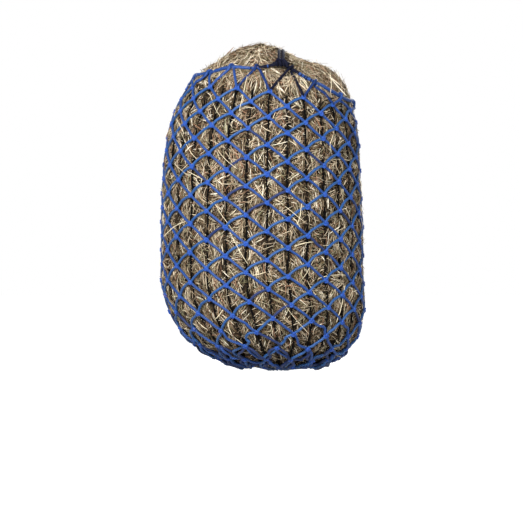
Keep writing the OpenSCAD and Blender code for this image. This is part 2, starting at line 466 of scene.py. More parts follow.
def bar_curves(row, stations):
    """(u, v) along the bars between row - 1 and row: first the rising ones, then the falling ones."""
    mix = np.stack(bezier_mix(np.linspace(0, 1, stations)), axis=1)
    low = np.arange((row - 1) % 2, COLUMNS, 2)
    runs = []
    for shape in (RISING, FALLING):
        runs.append(mix @ shape + np.stack([low, low * 0 + row - 1], axis=1)[:, None, :])
    runs = np.concatenate(runs)
    return runs[..., 0], runs[..., 1]


def cord_distance():
    """Distance from each table point to the nearest bar of the net."""
    points = []
    for row in range(1, ROWS):
        u, v = bar_curves(row, 18)
        points.append(on_skin(u, v, 0 * u).reshape(-1, 3))
    tree = tree_of(np.concatenate(points))
    coarse = skin[::2, ::2]
    near = np.array([tree.find(p)[2] for p in coarse.reshape(-1, 3)]).reshape(coarse.shape[:2])
    wide = np.repeat((near + np.roll(near, -1, axis=1)) / 2, 2, axis=1)
    wide[:, ::2] = near
    return np.repeat(wide, 2, axis=0)[: len(skin)]


def hay_height():
    """Height of the hay over the skin: pillows between the cords, with grooves at the dark lines."""
    cord = cord_distance()
    netted = smoothstep(-0.6, 0.6, table_v) * (1 - smoothstep(LAST_ROW + 0.2, LAST_ROW + 1.6, table_v))
    pillow = PILLOW_RISE * smoothstep(0, PILLOW_REACH, cord)
    pillow = pillow - LINE_DEPTH * np.exp(-((line_distance / LINE_HALF) ** 2))
    height = -GROOVE_DEPTH + pillow
    height = height * netted[:, None] + (1 - netted[:, None]) * OPEN_HAY
    rough = sum(size * soft_noise(*bumps) for size, *bumps in ROUGHNESS)
    above = smoothstep(-1, 1, table_v)[:, None]
    crown = smoothstep(LAST_ROW, LAST_ROW + 1.5, table_v)[:, None]
    lumps = sum(size * soft_noise(*bumps) for size, *bumps in CROWN_LUMPS)
    return height + rough * above + lumps * crown


hay = hay_height()
stalk_lay = math.pi / 2 + LAY_SWING * soft_noise(30, 20, 7)


# ---- Mesh making ----


def solid(name, points, quads, tris, materials, quad_material=None, tri_material=None, smooth=True):
    """A mesh object from millimetre points."""
    mesh = bpy.data.meshes.new(name)
    mesh.vertices.add(len(points))
    mesh.vertices.foreach_set("co", (points * MM).astype(np.float32).ravel())
    corners = np.concatenate([quads.ravel(), tris.ravel()]).astype(np.int32)
    mesh.loops.add(len(corners))
    mesh.loops.foreach_set("vertex_index", corners)
    starts = np.concatenate([np.arange(len(quads)) * 4, len(quads) * 4 + np.arange(len(tris)) * 3])
    mesh.polygons.add(len(starts))
    mesh.polygons.foreach_set("loop_start", starts.astype(np.int32))
    tint = np.zeros(len(starts), np.int32)
    if quad_material is not None:
        tint[: len(quads)] = quad_material
    if tri_material is not None:
        tint[len(quads) :] = tri_material
    mesh.polygons.foreach_set("material_index", tint)
    mesh.polygons.foreach_set("use_smooth", np.full(len(starts), smooth))
    for material in materials:
        mesh.materials.append(material)
    mesh.update(calc_edges=True)
    mesh.validate()
    obj = bpy.data.objects.new(name, mesh)
    bpy.context.scene.collection.objects.link(obj)
    return obj


def tubes(paths, ups, radii, angles, tip_length=0.0, closed=False):
    """Closed tubes along N paths of S points: (points, quads, tris, 0 or 1 for each quad in a chequer)."""
    count, stations, sides = paths.shape[0], paths.shape[1], len(angles)
    if closed:
        ahead = unit(np.roll(paths, -1, axis=1) - np.roll(paths, 1, axis=1))
    else:
        ahead = unit(np.gradient(paths, axis=1))
    aside = unit(np.cross(ahead, ups))
    up = np.cross(aside, ahead)
    round_ = np.cos(angles)[:, None] * aside[:, :, None] + np.sin(angles)[:, None] * up[:, :, None]
    radii = np.broadcast_to(radii, (count, stations, sides))
    rings = paths[:, :, None] + radii[..., None] * round_
    points = rings.reshape(-1, 3)
    n = np.arange(count)[:, None, None]
    s = np.arange(stations if closed else stations - 1)[None, :, None]
    k = np.arange(sides)[None, None, :]
    after = (s + 1) % stations

    def at(station, side_k):
        return (n * stations + station) * sides + side_k % sides

    quads = np.stack([at(s, k), at(after, k), at(after, k + 1), at(s, k + 1)], axis=-1).reshape(-1, 4)
    parity = ((s + k) % 2 + 0 * n).reshape(-1)
    if closed:
        return points, quads, np.zeros((0, 3), int), parity
    reach = np.asarray(tip_length, float).reshape(-1, 1)
    tips = np.concatenate([paths[:, 0] - ahead[:, 0] * reach, paths[:, -1] + ahead[:, -1] * reach])
    first = len(points) + np.arange(count)[:, None]
    k2 = np.arange(sides)[None, :]
    n2 = np.arange(count)[:, None]
    low = n2 * stations * sides
    high = (n2 * stations + stations - 1) * sides
    start = np.stack([first + 0 * k2, low + k2, low + (k2 + 1) % sides], axis=-1)
    end = np.stack([first + count + 0 * k2, high + (k2 + 1) % sides, high + k2], axis=-1)
    tris = np.concatenate([start.reshape(-1, 3), end.reshape(-1, 3)])
    return np.concatenate([points, tips]), quads, tris, parity


def join(parts):
    """Several (points, quads, tris, chequer) as one."""
    shift = np.cumsum([0] + [len(p[0]) for p in parts])
    return (
        np.concatenate([p[0] for p in parts]),
        np.concatenate([p[1] + d for p, d in zip(parts, shift)]),
        np.concatenate([p[2] + d for p, d in zip(parts, shift)]),
        np.concatenate([p[3] for p in parts]),
    )


def circle_angles(sides):
    """Even angles round a circle."""
    return np.arange(sides) * 2 * math.pi / sides


def braid(stations, sides, radius, relief=0.08):
    """Ring radii of a braided cord, with staggered bumps."""
    bump = 1 - 2 * ((np.arange(stations)[:, None] + np.arange(sides)[None, :]) % 2)
    return radius * (1 - relief / 2 + relief * bump)


def spaced(path, spacing, closed=False):
    """The path again at even steps of about spacing; a closed path gets an even count."""
    if closed:
        path = np.concatenate([path, path[:1]])
    run = np.concatenate([[0], np.cumsum(np.linalg.norm(np.diff(path, axis=0), axis=1))])
    count = max(4, 2 * round(run[-1] / spacing / 2))
    at = np.linspace(0, run[-1], count + 1)
    if closed:
        at = at[:-1]
    return np.stack([np.interp(at, run, path[:, k]) for k in range(3)], axis=1)


def carried_ups(path):
    """A direction across the path at each point, turned as little as possible along it."""
    ahead = unit(np.gradient(path, axis=0))
    seed = Z_AXIS if abs(ahead[0][2]) < 0.8 else X_AXIS
    ups = [unit(seed - ahead[0] * (seed @ ahead[0]))]
    for way in ahead[1:]:
        ups.append(unit(ups[-1] - way * (ups[-1] @ way)))
    return np.array(ups)


def braided(paths, ups, radius, sides, closed=False):
    """Braided cords along paths of even stations."""
    rings = braid(paths.shape[1], sides, radius)
    return tubes(paths, ups, rings[None], circle_angles(sides), closed=closed)


def rope(path, radius, sides=ROPE_SIDES, spacing=ROPE_STEP):
    """A braided rope along a path of a few points."""
    path = spaced(path, spacing)
    return braided(path[None], carried_ups(path)[None], radius, sides)


# ---- Materials ----


def linear(rgb):
    """Linear colour, with alpha, of a screen colour from 0 to 255."""
    c = np.array(rgb) / 255
    return tuple(np.where(c <= 0.04045, c / 12.92, ((c + 0.055) / 1.055) ** 2.4)) + (1.0,)


class Nodes:
    """A few helpers to build one material."""

    def __init__(self, name):
        self.material = bpy.data.materials.new(name)
        self.material.use_nodes = True
        self.tree = self.material.node_tree
        self.shader = self.tree.nodes["Principled BSDF"]
        self.place = self.add("ShaderNodeTexCoord").outputs["Object"]

    def add(self, kind, **values):
        node = self.tree.nodes.new(kind)
        for key, value in values.items():
            if key in node.inputs:
                node.inputs[key].default_value = value
            else:
                setattr(node, key, value)
        return node

    def link(self, out, into):
        self.tree.links.new(out, into)

    def set(self, **values):
        for key, value in values.items():
            self.shader.inputs[key.replace("_", " ")].default_value = value

    def noise(self, scale, detail=3.0, stretch=None):
        node = self.add("ShaderNodeTexNoise", Scale=scale, Detail=detail)
        place = self.place
        if stretch:
            mapping = self.add("ShaderNodeMapping", Scale=stretch)
            self.link(place, mapping.inputs["Vector"])
            place = mapping.outputs["Vector"]
        self.link(place, node.inputs["Vector"])
        return node.outputs["Fac"]

    def span(self, value, low, high):
        node = self.add("ShaderNodeMapRange")
        node.inputs["To Min"].default_value = low
        node.inputs["To Max"].default_value = high
        self.link(value, node.inputs["Value"])
        return node.outputs["Result"]

    def bump(self, height, distance, strength=0.6):
        node = self.add("ShaderNodeBump", Strength=strength, Distance=distance)
        self.link(height, node.inputs["Height"])
        self.link(node.outputs["Normal"], self.shader.inputs["Normal"])


def cord_material(name, rgb, gloss, shine=0.4):
    """Braided plastic cord: fine fibres across the strands, a soft shine."""
    m = Nodes(name)
    m.set(Base_Color=linear(rgb), Sheen_Weight=0.2 * shine, Specular_IOR_Level=shine)
    m.link(m.span(m.noise(700), gloss - 0.1, gloss + 0.18), m.shader.inputs["Roughness"])
    m.bump(m.noise(2200, 5.0), 0.0004)
    return m.material


def stalk_material(name, rgb):
    """Dried stalk: dull, with fine ridges."""
    m = Nodes(name)
    m.set(Base_Color=linear(rgb), Specular_IOR_Level=0.3)
    m.link(m.span(m.noise(400), 0.5, 0.85), m.shader.inputs["Roughness"])
    m.bump(m.noise(1500, 4.0), 0.0003)
    return m.material


def chaff_material():
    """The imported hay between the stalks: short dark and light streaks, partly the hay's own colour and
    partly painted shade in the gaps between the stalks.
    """
    m = Nodes("packed_hay")
    streaks = m.noise(260, 6.0, (1.0, 1.0, 0.35))
    ramp = m.add("ShaderNodeValToRGB")
    # The darkest stops are painted shade of the deep gaps between the stalks
    stops = (
        (0.30, (13, 9, 5)),
        (0.48, (30, 22, 13)),
        (0.62, (54, 42, 26)),
        (0.78, (92, 77, 54)),
    )
    while len(ramp.color_ramp.elements) < len(stops):
        ramp.color_ramp.elements.new(0.5)
    for element, (at, rgb) in zip(ramp.color_ramp.elements, stops):
        element.position = at
        element.color = linear(rgb)
    m.link(streaks, ramp.inputs["Fac"])
    m.link(ramp.outputs["Color"], m.shader.inputs["Base Color"])
    m.set(Roughness=0.9, Specular_IOR_Level=0.2)
    m.bump(m.noise(500, 6.0, (1.0, 1.0, 0.4)), 0.002, 0.9)
    return m.material


def steel_material():
    """Galvanised steel: patchy spangle and dull wear."""
    m = Nodes("galvanised_steel")
    spangle = m.add("ShaderNodeTexVoronoi", Scale=260.0)
    m.link(m.place, spangle.inputs["Vector"])
    mix = m.add("ShaderNodeMix", data_type="RGBA")
    mix.inputs[6].default_value = linear((150, 153, 156))
    mix.inputs[7].default_value = linear((196, 199, 202))
    m.link(m.span(spangle.outputs["Distance"], 0.0, 1.6), mix.inputs[0])
    m.link(mix.outputs[2], m.shader.inputs["Base Color"])
    m.set(Metallic=1.0)
    m.link(m.span(m.noise(180), 0.32, 0.6), m.shader.inputs["Roughness"])
    m.bump(m.noise(900), 0.0002, 0.4)
    return m.material


rising_blue = cord_material("blue_strand", (28, 94, 160), 0.42, 0.5)
# Falling bars: the same cord blue, darker as painted shade
shaded_cord_blue = cord_material("blue_strand_shaded", (18, 74, 150), 0.45)
# Much darker blue, painted shade: on alternate faces of each braid, and on whole bars painted as lying in
# shade
dark_shade_blue = cord_material("blue_strand_dark_shade", (7, 34, 84), 0.52)
knot_blue = cord_material("blue_knot", (20, 72, 160), 0.44)
net_blue = [rising_blue, shaded_cord_blue, dark_shade_blue, knot_blue]
SHADE, KNOT = 2, 3
# Navy rope, with a darker tint painted as shade on alternate faces of the braid; near the hitch navy also
# paints the shade on mesh cord and drawcord
navy = [
    cord_material("navy_strand", (8, 12, 36), 0.6, 0.15),
    cord_material("navy_strand_dark_shade", (4, 6, 22), 0.65, 0.1),
]
# Cord blue in painted shade, for the bights beside the hitch; its darker tint is painted shade in the
# braid
shade_tints = [
    cord_material("blue_strand_in_shade", (14, 50, 108), 0.5, 0.25),
    cord_material("blue_strand_in_shade_dark", (8, 30, 76), 0.55, 0.2),
]
inner = [
    cord_material("inner_strand", (8, 8, 8), 0.75, 0.08),
    # Darker tint painted as shade on alternate faces of the braid
    cord_material("inner_strand_dark_shade", (4, 4, 5), 0.8, 0.05),
]
packed_hay = chaff_material()
steel = steel_material()

HAY_TINTS = (
    # name, colour, share of the stalks
    ("hay_umber", (62, 46, 28), 0.15),
    ("hay_brown", (100, 79, 54), 0.16),
    ("hay_olive", (102, 95, 66), 0.10),
    ("hay_dun", (146, 128, 101), 0.17),
    ("hay_russet", (152, 112, 86), 0.08),
    ("hay_tan", (186, 168, 142), 0.14),
    ("hay_sage", (152, 149, 116), 0.05),
    ("hay_straw", (224, 208, 178), 0.10),
    ("hay_pale", (252, 242, 218), 0.05),
)


def settle(obj, body, slot, *nodes):
    """Rides a finished piece on its body, in place of the CAD nodes it stands for."""
    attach(obj, body)
    if nodes:
        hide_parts(*nodes)


# ---- Hay ----


def make_packed_hay():
    """One closed skin under the stalks."""
    lifted = skin + skin_normal * (hay - HAY_UNDER)[..., None]
    grid = above_floor(lifted[::HAY_GRID, ::HAY_GRID][1:-1], CLEAR_OF_FLOOR)
    m, n = grid.shape[:2]
    points = np.concatenate([grid.reshape(-1, 3), [grid[0].mean(0)], [grid[-1].mean(0)]])
    r = np.arange(m - 1)[:, None]
    c = np.arange(n)[None, :]
    quads = np.stack([r * n + c, r * n + (c + 1) % n, (r + 1) * n + (c + 1) % n, (r + 1) * n + c], axis=-1)
    c = np.arange(n)
    low = np.stack([0 * c + m * n, (c + 1) % n, c], axis=1)
    high = np.stack([0 * c + m * n + 1, (m - 1) * n + c, (m - 1) * n + (c + 1) % n], axis=1)
    obj = solid("packed_hay", points, quads.reshape(-1, 4), np.concatenate([low, high]), [packed_hay])
    settle(obj, NET_BODY, "hay", "hay_fill", "hay_crown")


def pick_places(count, low_v, high_v, line_keep):
    """Random (u, v), even over the surface, thinned on the dark lines."""
    area = u_length * v_length
    area = area * ((table_v >= low_v) & (table_v < high_v))[:, None]
    thin = np.where((line_distance < LINE_HALF) & (table_v < LAST_ROW)[:, None], line_keep, 1.0)
    weight = (area * thin).ravel()
    pick = rng.choice(weight.size, count, p=weight / weight.sum())
    v = table_v[pick // skin.shape[1]] + rng.random(count) / V_STEPS
    u = table_u[pick % skin.shape[1]] + rng.random(count) / U_STEPS
    return u, v


def dome_uv(x, y, steps=12):
    """(u, v) of the dome above a point of the floor plan."""
    middle = sample(skin, np.zeros(1), np.full(1, TOP_V - 0.01))[0]
    u = (np.arctan2((y - middle[1]) / DEPTH, x - middle[0]) - FIRST_ANGLE) / COLUMN_ANGLE
    reach = np.hypot(x - middle[0], y - middle[1])
    low, high = np.full(x.shape, LAST_ROW - 3.0), np.full(x.shape, TOP_V - 0.02)
    for _ in range(steps):
        v = (low + high) / 2
        p = sample(skin, u, v)
        far = np.hypot(p[..., 0] - middle[0], p[..., 1] - middle[1]) > reach
        low, high = np.where(far, v, low), np.where(far, high, v)
    return u, (low + high) / 2


def stalk_paths(u, v, heading, length, bend, lift):
    """Paths of stalks centred at (u, v) that follow the hay."""
    stations = lift.shape[1]
    t = np.linspace(-0.5, 0.5, stations)[None, :]
    along = length[:, None] * t
    swing = heading[:, None] + bend[:, None] * t
    x = along * np.cos(swing)
    y = along * np.sin(swing)
    du = x / sample(u_length, u, v)[:, None]
    dv = y / sample(v_length, u, v)[:, None]
    uu, vv = u[:, None] + du, v[:, None] + dv
    centre = sample(skin, u, v)
    on_top = v > LAST_ROW + 1.5
    if on_top.any():
        flat_x = centre[on_top, 0, None] + x[on_top]
        flat_y = centre[on_top, 1, None] + y[on_top]
        uu[on_top], vv[on_top] = dome_uv(flat_x, flat_y)
    height = sample(hay, uu, vv)
    path = on_skin(uu, vv, height + lift)
    step = np.linspace(0, 1, stations)[None, :, None]
    chord = path[:, :1] + (path[:, -1:] - path[:, :1]) * step
    path = chord + (path - chord) * STALK_GIVE
    return above_floor(path, STALK_CLEAR), sample(skin_normal, uu, vv)


STALK_ANGLES = np.array([0.0, math.pi / 2, math.pi])
STALK_SECTION = np.array([0.5, 0.32, 0.5])


def stalk_mesh(path, normal, width, roll):
    """Flat three-sided blades with pointed ends."""
    ahead = unit(np.gradient(path, axis=1))
    aside = unit(np.cross(ahead, normal))
    up = np.cos(roll)[:, None, None] * normal + np.sin(roll)[:, None, None] * aside
    taper = np.linspace(-1, 1, path.shape[1])
    taper = 1 - 0.35 * taper**2
    radii = width[:, None, None] * taper[None, :, None] * STALK_SECTION
    return tubes(path, up, radii, STALK_ANGLES, tip_length=width * 2.2)


def crosses_line(u, v, heading, length):
    """Whether a stalk would bridge one of the dark lines."""
    reach = length / 2 * np.abs(np.cos(heading)) + LINE_CLEAR
    off = np.abs((u + 0.5) % 1 - 0.5) * sample(u_length, u, v)
    return (off < reach) & (v < LAST_ROW + 0.5) & (v > 0)


def random_stalks(count):
    """Paths, normals, widths and rolls of stalks: count, less those that would bridge a dark line."""
    u, v = pick_places(count, STALK_LOW_V, TOP_V - 0.05, LINE_KEEP)
    heading = sample(stalk_lay, u, v) + rng.normal(0, LAY_SPREAD, count)
    length = np.clip(rng.lognormal(math.log(STALK_LENGTH), 0.45, count), *STALK_LENGTHS)
    kept = ~crosses_line(u, v, heading, length) | (rng.random(count) < BRIDGE_SHARE)
    u, v, heading, length = u[kept], v[kept], heading[kept], length[kept]
    count = len(u)
    bend = rng.normal(0, STALK_BEND, count)
    width = np.clip(rng.lognormal(math.log(STALK_WIDTH), 0.3, count), *STALK_WIDTHS)
    layer = rng.uniform(*STALK_LAYERS, count)
    t = np.linspace(-1, 1, 3)[None, :]
    tilt = rng.normal(0, STALK_TILT, count)[:, None] * t
    arch = -rng.uniform(0, STALK_ARCH, count)[:, None] * t**2
    crown = smoothstep(LAST_ROW, LAST_ROW + 1, v)
    is_loose = rng.random(count) < LOOSE_SHARE + CROWN_LOOSE_SHARE * crown
    loose = (is_loose * rng.uniform(1, 5 + 4 * crown, count))[:, None] * np.maximum(t, 0) ** 2
    lift = layer[:, None] + tilt + arch + loose
    path, normal = stalk_paths(u, v, heading, length, bend, lift)
    return path, normal, width, rng.normal(0, STALK_ROLL, count)


def make_stalks():
    """The loose stalks that make the surface of the hay, in one piece for each tint."""
    total = STALKS
    for name, rgb, share in HAY_TINTS:
        path, normal, width, roll = random_stalks(int(total * share))
        points, quads, tris, _ = stalk_mesh(path, normal, width, roll)
        obj = solid(name, points, quads, tris, [stalk_material(name, rgb)], smooth=False)
        settle(obj, NET_BODY, "hay")


def make_strays():
    """Long pale stalks that lie across the net."""
    u, v = pick_places(STRAYS, STRAY_LOW_V, TOP_V - 0.6, 1.0)
    heading = rng.random(STRAYS) * 2 * math.pi
    length = rng.uniform(*STRAY_LENGTHS, STRAYS)
    t = np.linspace(-1, 1, 5)[None, :]
    lift = STRAY_LIFT + rng.uniform(0, 2, STRAYS)[:, None]
    lift = lift + rng.normal(0, STRAY_TILT, STRAYS)[:, None] * t
    bend = rng.normal(0, 0.35, STRAYS)
    path, normal = stalk_paths(u, v, heading, length, bend, np.maximum(lift, STRAY_LEAST_LIFT))
    width = rng.uniform(*STRAY_WIDTHS, STRAYS)
    roll = rng.normal(0, 0.5, STRAYS)
    points, quads, tris, _ = stalk_mesh(path, normal, width, roll)
    pale = stalk_material("stray_stalks", (236, 222, 188))
    obj = solid("stray_stalks", points, quads, tris, [pale], smooth=False)
    settle(obj, NET_BODY, "hay")


# ---- Net ----


def knot_tubes(places, normals, size):
    """Small pretzel knots, lying on the skin."""
    t = np.arange(KNOT_STATIONS) * 2 * math.pi / KNOT_STATIONS
    ring_r, swing_r = KNOT_RING * size, KNOT_SWING * size
    flat = np.stack([
        (ring_r + swing_r * np.cos(3 * t)) * np.cos(2 * t),
        (ring_r + swing_r * np.cos(3 * t)) * np.sin(2 * t),
        swing_r * 1.1 * np.sin(3 * t)], axis=1)
    east = unit(np.cross(np.array([0.03, 0.02, 1.0]), normals))
    north = np.cross(normals, east)
    spin = rng.uniform(0, 2 * math.pi, len(places))
    flat = flat[None] * rng.uniform(0.86, 1.1, len(places))[:, None, None]
    c, s = np.cos(spin)[:, None], np.sin(spin)[:, None]
    a = east * c + north * s
    b = north * c - east * s
    paths = (places[:, None] + flat[..., 0:1] * a[:, None] + flat[..., 1:2] * b[:, None]
             + flat[..., 2:3] * normals[:, None])
    ups = np.broadcast_to(normals[:, None], paths.shape)
    return braided(paths, ups, KNOT_CORD * size, KNOT_SIDES, closed=True)


def crumple(row):
    """How far the net hangs slack: fully on the first courses, not at all from SLACK_ROWS up."""
    return max(0.0, 1 - max(0, row - 1) / SLACK_ROWS)


def scatter(count, spread):
    """A random amount for each of count bars."""
    return rng.normal(0, spread, count)[:, None]


def bar_paths(row):
    """Centre lines of a course's bars, with a little play, and slack near the base."""
    u, v = bar_curves(row, BAR_STATIONS)
    t = np.linspace(0, 1, BAR_STATIONS)[None, :]
    arch = np.sin(math.pi * t)
    wave = np.sin(2 * math.pi * t)
    ripple = arch * np.sin(3 * math.pi * t)
    count = len(u)
    slack = SLACK * crumple(row)
    drift = scatter(count, BAR_PLAY + slack) * arch + scatter(count, 0.5 + slack / 2) * wave
    drift = drift + scatter(count, slack / 2) * ripple
    u = u + drift / sample(u_length, u, v)
    drop = np.abs(scatter(count, slack)) * arch + scatter(count, 0.4 + slack / 2) * ripple
    v = v - drop / sample(v_length, u, v)
    rise = CORD_LIFT + scatter(count, 0.35) * arch
    rise = rise + slack * rng.random(count)[:, None] * arch
    rise = rise + np.abs(scatter(count, slack / 3)) * wave**2
    path = above_floor(on_skin(u, v, rise), CORD_R + CLEAR_OF_FLOOR)
    return path, sample(skin_normal, u, v)


def knot_size(row):
    """Size of a row's knots, larger at the base."""
    return KNOT_SIZE if row > 1 else BASE_KNOT_SIZE


def knot_places(row):
    """Middles and normals of a row's knots; those near the base stand out unevenly."""
    u = np.arange(row % 2, COLUMNS, 2).astype(float)
    v = np.full(len(u), float(row))
    lift = KNOT_LIFT + crumple(row) * FOOT_KNOT_LIFT * ((np.arange(len(u)) * 7) % 5) / 5
    places = above_floor(on_skin(u, v, lift), KNOT_CLEAR * knot_size(row))
    return places, sample(skin_normal, u, v)


def make_course(row):
    """One course of the net: a row of knots and the bars below it, which lie double near the base."""
    parts, tints = [], []
    for copy in range(2 if row <= FOLDED_ROWS else 1):
        bars = braided(*bar_paths(row), CORD_R, CORD_SIDES)
        is_falling = np.arange(COLUMNS) >= COLUMNS // 2
        # Random bars and the whole doubled copy are painted in shade, and the falling bars take the shaded
        # copy of the blue
        is_dim = (rng.random(COLUMNS) < DIM_SHARE) | (copy == 1)
        plain = np.repeat(np.where(is_dim, SHADE, is_falling), len(bars[3]) // COLUMNS)
        parts.append(bars)
        # Alternate faces of every bar are painted in shade, as shade in the braid
        tints.append(np.where(bars[3] == 1, SHADE, plain))
    knots = knot_tubes(*knot_places(row), knot_size(row))
    points, quads, tris, _ = join(parts + [knots])
    tint = np.concatenate(tints + [0 * knots[3] + KNOT])
    obj = solid(f"course_{row:02d}", points, quads, tris, net_blue, tint, 0)
    settle(obj, NET_BODY, "mesh_cord", f"net_course_{row:02d}")


def make_base_loops():
    """Starting loops: doubled cord from each knot of row 0, round the bar of the base ring."""
    low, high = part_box("base_ring")
    ring_z = (low.z + high.z) / 2 / MM
    bar_r = (high.z - low.z) / 2 / MM
    ring_r = (high.x - low.x) / 2 / MM - bar_r
    loop_r = bar_r + LOOP_R + LOOP_CLEAR
    places, normals = knot_places(0)
    parts = [knot_tubes(places, normals, knot_size(0))]
    for place in places:
        out = unit(np.array([place[0], place[1], 0.0]))
        aside = np.array([-out[1], out[0], 0.0])
        hub = out * ring_r + ring_z * Z_AXIS
        gap = aside * LOOP_GAP
        turn = np.radians(np.linspace(50, 310, 13))
        bight = [hub + loop_r * (math.cos(a) * out + math.sin(a) * Z_AXIS) + gap * (1 - k / 6)
                 for k, a in enumerate(turn)]
        leg_out = [place + gap, (place + bight[0]) / 2 + gap * 0.3]
        leg_back = [(place + bight[-1]) / 2 - gap * 0.3, place - gap]
        path = above_floor(catmull(np.array(leg_out + bight + leg_back), 4), LOOP_R + CLEAR_OF_FLOOR)
        parts.append(rope(path, LOOP_R, CORD_SIDES, CORD_STEP))
    points, quads, tris, _ = join(parts)
    # Alternate faces of the loops are painted in the dark shade blue, as shade in the braid
    tint = np.concatenate([0 * parts[0][3] + KNOT] + [p[3] * SHADE for p in parts[1:]])
    obj = solid("starting_loops", points, quads, tris, net_blue, tint, 0)
    settle(obj, NET_BODY, "mesh_cord", "base_loops")


def make_inner_cords():
    """Dark cords in the grooves of the hay, from the base to the mouth."""
    v = np.linspace(0, LAST_ROW, LAST_ROW * 12 + 1)[None, :]
    u = np.arange(COLUMNS)[:, None] + 0 * v
    weave = 1.3 * np.sin(v * 2.1 + rng.uniform(0, 6, COLUMNS)[:, None])
    weave = weave + 0.6 * np.sin(v * 4.7 + rng.uniform(0, 6, COLUMNS)[:, None])
    depth = INNER_LIFT + 0.5 * np.sin(v * 3.3 + rng.uniform(0, 6, COLUMNS)[:, None])
    path = on_skin(u + weave / sample(u_length, u, v), v + 0 * u, depth)
    path = above_floor(path, INNER_R + CLEAR_OF_FLOOR)
    normal = sample(skin_normal, u, v + 0 * u)
    points, quads, tris, tint = braided(path, normal, INNER_R, INNER_SIDES)
    # Alternate faces take the darker tint: painted shade in the braid
    obj = solid("dark_cords", points, quads, tris, inner, tint, 0)
    settle(obj, NET_BODY, "inner_cord", "inner_cords")


# ---- Mouth ----


def mouth_surface():
    """The loose hay round the mouth, as points with normals and a tree to find them."""
    start = (LAST_ROW - 1 - FOOT_V) * V_STEPS
    points = (skin + skin_normal * hay[..., None])[start::2, ::3].reshape(-1, 3)
    return points, skin_normal[start::2, ::3].reshape(-1, 3), tree_of(points)


mouth_points, mouth_normals, mouth_tree = mouth_surface()


def surfaced(path, lift):
    """Raises the buried parts of a cord until they lie on the loose hay."""
    found = [mouth_tree.find(p)[1] for p in path]
    normals = mouth_normals[found]
    height = np.sum((path - mouth_points[found]) * normals, axis=1)
    need = np.maximum(lift - height, 0)
    soft = np.convolve(np.pad(need, 2, mode="edge"), np.ones(5) / 5, mode="valid")
    return path + normals * np.maximum(need, soft)[:, None]


def drawcord_joints():
    """Joints of the drawcord's ring, and the index of the one that rises to the hitch."""
    points = node_points("drawcord")
    angle = np.arctan2(points[:, 1] / DEPTH, points[:, 0] - row_middle[LAST_ROW])
    hitch = box_middle("drawcord_hitch")
    hitch_angle = math.atan2(hitch[1] / DEPTH, hitch[0] - row_middle[LAST_ROW])
    joints = []
    turns = []
    for column in range(1, COLUMNS, 2):
        at = FIRST_ANGLE + column * COLUMN_ANGLE
        off = (angle - at + math.pi) % (2 * math.pi) - math.pi
        near = points[np.abs(off) < math.radians(4.5)]
        joints.append(near.mean(0) if len(near) else hitch)
        turns.append(abs((at - hitch_angle + math.pi) % (2 * math.pi) - math.pi))
    exit_index = int(np.argmin(turns))
    joints = np.array(joints)
    outward = unit((joints - [row_middle[LAST_ROW], 0, 0]) * [1, 1, 0])
    joints = surfaced(joints - outward * TUCK, ROPE_LIFT)
    joints[exit_index] = hitch
    return joints, exit_index


draw_joints, draw_exit = drawcord_joints()


def draw_path():
    """The drawcord from the hitch, round the mouth, back to the hitch."""
    order = [(draw_exit + k) % len(draw_joints) for k in range(len(draw_joints) + 1)]
    points = draw_joints[order].copy()
    points[1:-1] += rng.normal(0, 0.8, (len(points) - 2, 3))
    return surfaced(catmull(points, 10), ROPE_LIFT)


def make_drawcord():
    """The drawcord, navy at the hitch as painted shade, and turning blue away from it."""
    path = spaced(draw_path(), ROPE_STEP)
    points, quads, tris, parity = rope(path, DRAW_R)
    count = len(parity) // ROPE_SIDES
    share = np.arange(count) / count
    # Navy near the hitch is painted shade; alternate faces take the darker tint of each pair as painted
    # shade in the braid
    blueness = smoothstep(0.02, 0.09, np.minimum(share, 1 - share))
    is_blue = (rng.random(count) < blueness).astype(int)
    tint = parity + 2 * np.repeat(is_blue, ROPE_SIDES)
    obj = solid("draw_rope", points, quads, tris, navy + [shaded_cord_blue, dark_shade_blue], tint, 0)
    settle(obj, NET_BODY, "draw_rope", "drawcord")


# A bight's way over the drawcord: mm along it, shares of its reach outwards and down, and mm down
BIGHT = (
    (-6, 0.7, 0, 9),
    (-3, 1, 0, 0),
    (-1.5, 0.7, -0.7, 0),
    (0, 0, -1, 0),
    (1.5, -0.7, -0.7, 0),
    (3, -0.8, 0, 3),
    (6, -0.2, 0, 10),
)
EXIT_SHIFT = 24


def make_mouth_loops():
    """Bights of mesh cord over the drawcord, between neighbouring knots of the last row."""
    knots, _ = knot_places(LAST_ROW)
    parts, tints = [], []
    count = len(draw_joints)
    reach = DRAW_R + CORD_R + 0.3
    for j in range(count):
        before, after = draw_joints[j - 1], draw_joints[(j + 1) % count]
        here = draw_joints[j]
        way = unit(after - before)
        if j == draw_exit:
            way = unit(after - here)
            here = here + way * EXIT_SHIFT
        left, right = knots[j], knots[(j + 1) % count]
        down = (left + right) / 2 - here
        down = unit(down - way * (down @ way))
        out = np.cross(down, way)
        middle = np.array([row_middle[LAST_ROW], 0, here[2]])
        if out @ (here - middle) < 0:
            out = -out
        bight = [here + along * way + reach * (outward * out + below * down) + lower * down
                 for along, outward, below, lower in BIGHT]
        path = catmull(np.array([left] + bight + [right]), 5)
        path[:12] = surfaced(path[:12], CORD_R * 0.6)
        path[-12:] = surfaced(path[-12:], CORD_R * 0.6)
        cord = rope(path, CORD_R, CORD_SIDES, CORD_STEP)
        parts.append(cord)
        # The bight at the hitch is painted navy and its neighbours in the shaded blue: painted shade near
        # the hitch
        tints.append(cord[3] + {0: 2, 1: 4}.get(abs(j - draw_exit), 0))
    points, quads, tris, _ = join(parts)
    tint = np.concatenate(tints)
    obj = solid("mouth_bights", points, quads, tris, [shaded_cord_blue, dark_shade_blue] + navy + shade_tints, tint, 0)
    settle(obj, NET_BODY, "mesh_cord", "mouth_loops")


